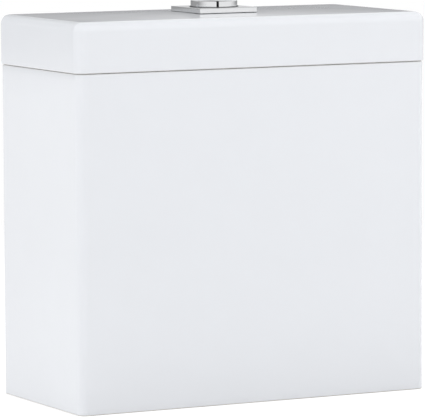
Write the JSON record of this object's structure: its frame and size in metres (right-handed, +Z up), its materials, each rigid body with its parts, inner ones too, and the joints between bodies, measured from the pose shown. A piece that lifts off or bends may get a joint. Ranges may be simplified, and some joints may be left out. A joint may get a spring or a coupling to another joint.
{
  "type": "toilet cistern",
  "caption": "Boxy glazed ceramic toilet cistern with a lift-off lid, a split push button on a square plate, a lift-type flush valve, a float-cup fill valve and fixing bolts under the floor.",
  "frame": {"origin": "middle of the base, on the plane that the tank stands on", "axes": "+Z up, -Y towards the front, +X to the right as seen from the front"},
  "size_m": [0.3744, 0.1722, 0.3806],
  "materials": {
    "glaze": "gloss",
    "chrome": "polished",
    "white_plastic": "satin",
    "grey_plastic": "satin",
    "light_blue_plastic": "satin",
    "blue_plastic": "satin",
    "red_plastic": "satin",
    "dark_rubber": "matte",
    "red_rubber": "matte",
    "steel": "satin"
  },
  "bodies": {
    "cistern": {"tank": "glaze", "valve_base": "white_plastic", "valve_cage": "grey_plastic", "valve_tower": "grey_plastic", "valve_head": "light_blue_plastic", "rocker_pin": "steel", "outlet_gasket": "dark_rubber", "outlet_backnut": "white_plastic", "pan_seal": "dark_rubber", "inlet_shank": "white_plastic", "inlet_gasket": "dark_rubber", "inlet_backnut": "white_plastic", "inlet_filter": "blue_plastic", "riser_tube": "white_plastic", "stop_collar": "light_blue_plastic", "fill_head": "white_plastic", "fill_cap": "light_blue_plastic", "diaphragm": "dark_rubber", "lever_pin": "steel", "fixing_bolts": "steel", "fixing_rubber_washers": "dark_rubber", "fixing_steel_washers": "steel", "fixing_nuts": "steel"},
    "lid": {"lid": "glaze", "button_plate": "chrome", "button_housing": "white_plastic", "housing_washer": "dark_rubber", "housing_nut": "white_plastic", "full_spring": "steel", "half_spring": "steel"},
    "full_button": {"full_button": "chrome", "full_rod": "white_plastic", "full_clip": "steel"},
    "half_button": {"half_button": "chrome", "half_rod": "white_plastic", "half_clip": "steel"},
    "full_rocker": {"full_rocker": "red_plastic"},
    "half_rocker": {"half_rocker": "red_plastic"},
    "flush_tube": {"overflow_tube": "white_plastic", "lifting_yoke": "light_blue_plastic", "tube_float": "white_plastic", "valve_seal": "red_rubber", "seal_clamp": "grey_plastic"},
    "half_float": {"half_float": "blue_plastic"},
    "fill_float": {"float_cup": "blue_plastic", "link_rod": "steel", "link_nuts": "grey_plastic"},
    "fill_lever": {"fill_lever": "red_plastic"}
  },
  "joints": [
    {"name": "lid_lift", "type": "slide", "parent": "cistern", "child": "lid", "axis": [0, 0, 1], "range_m": [0, 0.12]},
    {"name": "full_press", "type": "slide", "parent": "lid", "child": "full_button", "axis": [0, 0, -1], "range_m": [0, 0.008], "stiffness_N_per_m": 250, "springref_m": -0.004, "deforming": ["full_spring"]},
    {"name": "half_press", "type": "slide", "parent": "lid", "child": "half_button", "axis": [0, 0, -1], "range_m": [0, 0.008], "stiffness_N_per_m": 250, "springref_m": -0.004, "deforming": ["half_spring"]},
    {"name": "full_rock", "type": "hinge", "parent": "cistern", "child": "full_rocker", "pos_m": [0, 0.0045, 0.276], "axis": [0, 1, 0], "range_deg": [0, 30]},
    {"name": "half_rock", "type": "hinge", "parent": "cistern", "child": "half_rocker", "pos_m": [0, -0.0045, 0.276], "axis": [0, -1, 0], "range_deg": [0, 30]},
    {"name": "tube_lift", "type": "slide", "parent": "cistern", "child": "flush_tube", "axis": [0, 0, 1], "range_m": [0, 0.01243]},
    {"name": "half_float_lift", "type": "slide", "parent": "cistern", "child": "half_float", "axis": [0, 0, 1], "range_m": [0, 0.01243]},
    {"name": "float_rise", "type": "slide", "parent": "cistern", "child": "fill_float", "axis": [0, 0, 1], "range_m": [0, 0.015]},
    {"name": "lever_tilt", "type": "hinge", "parent": "cistern", "child": "fill_lever", "pos_m": [-0.141, 0.016, 0.274], "axis": [0, -1, 0], "range_deg": [0, 16.92]}
  ],
  "couplings": [
    {"joint": "full_rock", "follows": "full_press", "rad_per_m": 65.44},
    {"joint": "tube_lift", "follows": "full_press", "ratio": 1.5529},
    {"joint": "half_rock", "follows": "half_press", "rad_per_m": 65.44},
    {"joint": "half_float_lift", "follows": "half_press", "ratio": 1.5529},
    {"joint": "lever_tilt", "follows": "float_rise", "rad_per_m": 19.678}
  ]
}
